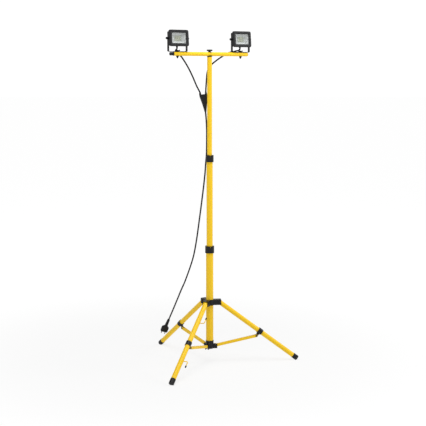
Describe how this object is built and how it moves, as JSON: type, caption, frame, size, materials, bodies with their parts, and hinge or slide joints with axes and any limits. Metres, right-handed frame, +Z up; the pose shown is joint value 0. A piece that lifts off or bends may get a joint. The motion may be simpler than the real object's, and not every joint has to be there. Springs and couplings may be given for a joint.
{
  "type": "work light",
  "caption": "Mains work light with slim LED floodlights side by side on a cross bar, on a telescopic mast with a folding tripod base, cord joined by a splitter.",
  "frame": {"origin": "On the floor, under the middle of the box round the deployed stand. The mast axis is at x 0, y -0.109.", "axes": "+Z up the mast, +X along the cross bar to the right lamp, lamps face -Y"},
  "size_m": [0.824, 0.7172, 1.7179],
  "materials": {
    "yellow_steel": "gloss",
    "black_plastic": "satin",
    "bright_steel": "satin",
    "black_rubber": "matte",
    "black_steel": "satin",
    "black_cast": "matte",
    "lamp_glass": "clear",
    "reflector_white": "satin",
    "led_yellow": "matte"
  },
  "bodies": {
    "base": {"base_tube": "yellow_steel", "base_collar": "black_plastic", "lower_hub": "black_plastic", "cord_lower": "black_rubber", "plug_body": "black_rubber", "plug_pins": "bright_steel"},
    "base_screw": {"base_collar_screw": "black_plastic"},
    "mid_mast": {"mid_tube": "yellow_steel", "mid_bush": "black_plastic", "mid_collar": "black_plastic", "cord_upper": "black_rubber"},
    "mid_screw": {"mid_collar_screw": "black_plastic"},
    "top_mast": {"top_tube": "yellow_steel", "top_bush": "black_plastic", "mast_cap": "black_plastic", "cross_bar": "yellow_steel", "bar_end_plugs": "black_plastic", "bolt_nuts": "black_steel", "splitter": "black_rubber", "cord_left": "black_rubber", "cord_right": "black_rubber"},
    "bar_knob": {"centre_knob": "black_plastic"},
    "hub": {"upper_hub": "black_plastic", "leg_rivets": "black_steel"},
    "hub_lock": {"hub_screw": "black_plastic"},
    "yoke_left": {"bracket_left": "black_steel", "lead_left": "black_rubber"},
    "lamp_left": {"lamp_body_left": "black_cast", "lamp_frame_left": "black_cast", "lamp_glass_left": "lamp_glass", "reflector_left": "reflector_white", "led_board_left": "led_yellow", "tilt_screws_left": "black_steel", "gland_left": "black_plastic"},
    "bolt_left": {"wing_bolt_left": "black_plastic"},
    "yoke_right": {"bracket_right": "black_steel", "lead_right": "black_rubber"},
    "lamp_right": {"lamp_body_right": "black_cast", "lamp_frame_right": "black_cast", "lamp_glass_right": "lamp_glass", "reflector_right": "reflector_white", "led_board_right": "led_yellow", "tilt_screws_right": "black_steel", "gland_right": "black_plastic"},
    "bolt_right": {"wing_bolt_right": "black_plastic"},
    "leg_right": {"leg_right": "yellow_steel", "clamp_right": "black_plastic", "foot_right": "black_rubber"},
    "brace_right": {"brace_right": "yellow_steel"},
    "leg_back": {"leg_back": "yellow_steel", "clamp_back": "black_plastic", "foot_back": "black_rubber"},
    "brace_back": {"brace_back": "yellow_steel"},
    "leg_front": {"leg_front": "yellow_steel", "clamp_front": "black_plastic", "foot_front": "black_rubber", "cable_hooks": "yellow_steel", "hook_tips": "black_rubber"},
    "brace_front": {"brace_front": "yellow_steel"}
  },
  "joints": [
    {"name": "mid_mast_slide", "type": "slide", "parent": "base", "child": "mid_mast", "axis": [0, 0, 1], "range_m": [-0.43, 0], "deforming": ["cord_lower"]},
    {"name": "top_mast_slide", "type": "slide", "parent": "mid_mast", "child": "top_mast", "axis": [0, 0, 1], "range_m": [-0.45, 0], "deforming": ["cord_upper"]},
    {"name": "base_screw_turn", "type": "hinge", "parent": "base", "child": "base_screw", "pos_m": [0, -0.109, 0.6], "axis": [0.5878, 0.809, 0], "continuous": true},
    {"name": "mid_screw_turn", "type": "hinge", "parent": "mid_mast", "child": "mid_screw", "pos_m": [0, -0.109, 1.071], "axis": [0.5878, 0.809, 0], "continuous": true},
    {"name": "bar_knob_turn", "type": "hinge", "parent": "top_mast", "child": "bar_knob", "pos_m": [0, -0.109, 1.61], "axis": [0, 0, 1], "continuous": true},
    {"name": "hub_slide", "type": "slide", "parent": "base", "child": "hub", "axis": [0, 0, 1], "range_m": [0, 0.244]},
    {"name": "hub_lock_turn", "type": "hinge", "parent": "hub", "child": "hub_lock", "pos_m": [0, -0.109, 0.323], "axis": [0.7431, 0.6691, 0], "continuous": true},
    {"name": "leg_right_hinge", "type": "hinge", "parent": "hub", "child": "leg_right", "pos_m": [0.04244, -0.1335, 0.323], "axis": [0.5, 0.866, 0], "range_deg": [0, 35.85]},
    {"name": "brace_right_hinge", "type": "hinge", "parent": "leg_right", "child": "brace_right", "pos_m": [0.21384, -0.23246, 0.13547], "axis": [-0.5, -0.866, 0], "range_deg": [0, 96.36]},
    {"name": "leg_back_hinge", "type": "hinge", "parent": "hub", "child": "leg_back", "pos_m": [0, -0.06, 0.323], "axis": [-1, 0, 0], "range_deg": [0, 35.85]},
    {"name": "brace_back_hinge", "type": "hinge", "parent": "leg_back", "child": "brace_back", "pos_m": [0, 0.13792, 0.13547], "axis": [1, 0, 0], "range_deg": [0, 96.36]},
    {"name": "leg_front_hinge", "type": "hinge", "parent": "hub", "child": "leg_front", "pos_m": [-0.04244, -0.1335, 0.323], "axis": [0.5, -0.866, 0], "range_deg": [0, 35.85]},
    {"name": "brace_front_hinge", "type": "hinge", "parent": "leg_front", "child": "brace_front", "pos_m": [-0.21384, -0.23246, 0.13547], "axis": [-0.5, 0.866, 0], "range_deg": [0, 96.36]},
    {"name": "yoke_left_swivel", "type": "hinge", "parent": "top_mast", "child": "yoke_left", "pos_m": [-0.197, -0.109, 1.61], "axis": [0, 0, 1], "range_deg": [-35, 0], "deforming": ["lead_left"]},
    {"name": "lamp_left_tilt", "type": "hinge", "parent": "yoke_left", "child": "lamp_left", "pos_m": [-0.197, -0.109, 1.676], "axis": [-1, 0, 0], "range_deg": [-4, 80], "deforming": ["lead_left"]},
    {"name": "bolt_left_turn", "type": "hinge", "parent": "top_mast", "child": "bolt_left", "pos_m": [-0.197, -0.109, 1.6], "axis": [0, 0, 1], "continuous": true},
    {"name": "yoke_right_swivel", "type": "hinge", "parent": "top_mast", "child": "yoke_right", "pos_m": [0.197, -0.109, 1.61], "axis": [0, 0, 1], "range_deg": [0, 35], "deforming": ["lead_right"]},
    {"name": "lamp_right_tilt", "type": "hinge", "parent": "yoke_right", "child": "lamp_right", "pos_m": [0.197, -0.109, 1.676], "axis": [-1, 0, 0], "range_deg": [-4, 80], "deforming": ["lead_right"]},
    {"name": "bolt_right_turn", "type": "hinge", "parent": "top_mast", "child": "bolt_right", "pos_m": [0.197, -0.109, 1.6], "axis": [0, 0, 1], "continuous": true}
  ],
  "couplings": [
    {"joint": "leg_right_hinge", "follows": "hub_slide", "rad_per_m": 2.5636},
    {"joint": "brace_right_hinge", "follows": "hub_slide", "rad_per_m": 6.8919},
    {"joint": "leg_back_hinge", "follows": "hub_slide", "rad_per_m": 2.5636},
    {"joint": "brace_back_hinge", "follows": "hub_slide", "rad_per_m": 6.8919},
    {"joint": "leg_front_hinge", "follows": "hub_slide", "rad_per_m": 2.5636},
    {"joint": "brace_front_hinge", "follows": "hub_slide", "rad_per_m": 6.8919}
  ]
}
